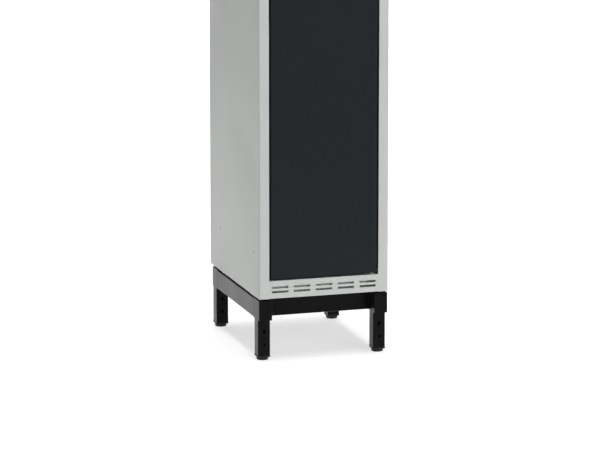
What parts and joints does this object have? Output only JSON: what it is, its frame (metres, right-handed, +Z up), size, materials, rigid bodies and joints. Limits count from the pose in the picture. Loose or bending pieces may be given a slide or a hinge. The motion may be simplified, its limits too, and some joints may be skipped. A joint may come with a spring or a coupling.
{
  "type": "locker cabinet",
  "caption": "Tall narrow steel clothes locker with one hinged door, ventilation slots, hat shelf, coat rail, turn latch and a stand with adjustable legs.",
  "frame": {"origin": "on the floor, under the middle of the box that the locker and its latch knob fill", "axes": "+Z up, +X to the right of a person facing the door, +Y from the door into the cabinet"},
  "size_m": [0.3, 0.424, 1.883],
  "materials": {
    "body_paint": "light grey powder coat, satin",
    "door_paint": "anthracite powder coat, satin",
    "stand_paint": "black powder coat, satin",
    "zinc": "bright zinc plate",
    "bright_steel": "satin chrome plate",
    "nylon": "natural nylon",
    "rubber": "soft rubber",
    "label_frame": "anodised",
    "card": "blank paper card",
    "black_plastic": "moulded polypropylene"
  },
  "bodies": {
    "cabinet": {"left_side_panel": "body_paint", "right_side_panel": "body_paint", "left_base_angle": "body_paint", "right_base_angle": "body_paint", "back_panel": "body_paint", "back_rivets": "zinc", "floor_panel": "body_paint", "top_panel": "body_paint", "hat_shelf": "body_paint", "bottom_frame_rail": "body_paint", "top_frame_rail": "body_paint", "bottom_pivot_bracket": "body_paint", "bottom_pivot_bush": "nylon", "top_pivot_bracket": "body_paint", "top_pivot_bush": "nylon", "latch_keeper": "zinc", "door_stops": "body_paint", "door_buffers": "rubber", "coat_rail": "bright_steel", "coat_rail_cups": "zinc", "coat_rail_screws": "zinc", "coat_hooks": "zinc", "stand_left_rail": "stand_paint", "stand_right_rail": "stand_paint", "stand_front_rail": "stand_paint", "stand_rear_rail": "stand_paint", "front_left_sleeve": "stand_paint", "front_right_sleeve": "stand_paint", "rear_left_sleeve": "stand_paint", "rear_right_sleeve": "stand_paint", "leg_lock_nuts": "zinc", "leg_lock_screws": "zinc", "stand_spacers": "zinc", "stand_bolts": "zinc", "stand_nuts": "zinc"},
    "door": {"door_skin": "door_paint", "door_stiffener": "door_paint", "door_pivot_blocks": "zinc", "bottom_pivot_pin": "zinc", "top_pivot_pin": "zinc", "label_holder": "label_frame", "label_card": "card", "latch_rose": "bright_steel", "latch_nut": "zinc"},
    "latch": {"latch_knob": "bright_steel", "latch_cam": "zinc", "latch_cam_screw": "zinc"},
    "front_left_leg": {"front_left_leg": "stand_paint", "front_left_leg_plug": "black_plastic"},
    "front_left_foot": {"front_left_foot": "black_plastic"},
    "front_right_leg": {"front_right_leg": "stand_paint", "front_right_leg_plug": "black_plastic"},
    "front_right_foot": {"front_right_foot": "black_plastic"},
    "rear_left_leg": {"rear_left_leg": "stand_paint", "rear_left_leg_plug": "black_plastic"},
    "rear_left_foot": {"rear_left_foot": "black_plastic"},
    "rear_right_leg": {"rear_right_leg": "stand_paint", "rear_right_leg_plug": "black_plastic"},
    "rear_right_foot": {"rear_right_foot": "black_plastic"}
  },
  "joints": [
    {"name": "door_hinge", "type": "hinge", "parent": "cabinet", "child": "door", "pos_m": [0.1142, -0.18, 0.187], "axis": [0, 0, 1], "range_deg": [0, 110]},
    {"name": "latch_turn", "type": "hinge", "parent": "door", "child": "latch", "pos_m": [-0.0916, -0.188, 1.003], "axis": [0, -1, 0], "range_deg": [0, 90]},
    {"name": "front_left_leg_slide", "type": "slide", "parent": "cabinet", "child": "front_left_leg", "axis": [0, 0, -1], "range_m": [0, 0.02]},
    {"name": "front_left_foot_screw", "type": "slide", "parent": "front_left_leg", "child": "front_left_foot", "axis": [0, 0, -1], "range_m": [0, 0.015]},
    {"name": "front_right_leg_slide", "type": "slide", "parent": "cabinet", "child": "front_right_leg", "axis": [0, 0, -1], "range_m": [0, 0.02]},
    {"name": "front_right_foot_screw", "type": "slide", "parent": "front_right_leg", "child": "front_right_foot", "axis": [0, 0, -1], "range_m": [0, 0.015]},
    {"name": "rear_left_leg_slide", "type": "slide", "parent": "cabinet", "child": "rear_left_leg", "axis": [0, 0, -1], "range_m": [0, 0.02]},
    {"name": "rear_left_foot_screw", "type": "slide", "parent": "rear_left_leg", "child": "rear_left_foot", "axis": [0, 0, -1], "range_m": [0, 0.015]},
    {"name": "rear_right_leg_slide", "type": "slide", "parent": "cabinet", "child": "rear_right_leg", "axis": [0, 0, -1], "range_m": [0, 0.02]},
    {"name": "rear_right_foot_screw", "type": "slide", "parent": "rear_right_leg", "child": "rear_right_foot", "axis": [0, 0, -1], "range_m": [0, 0.015]}
  ]
}
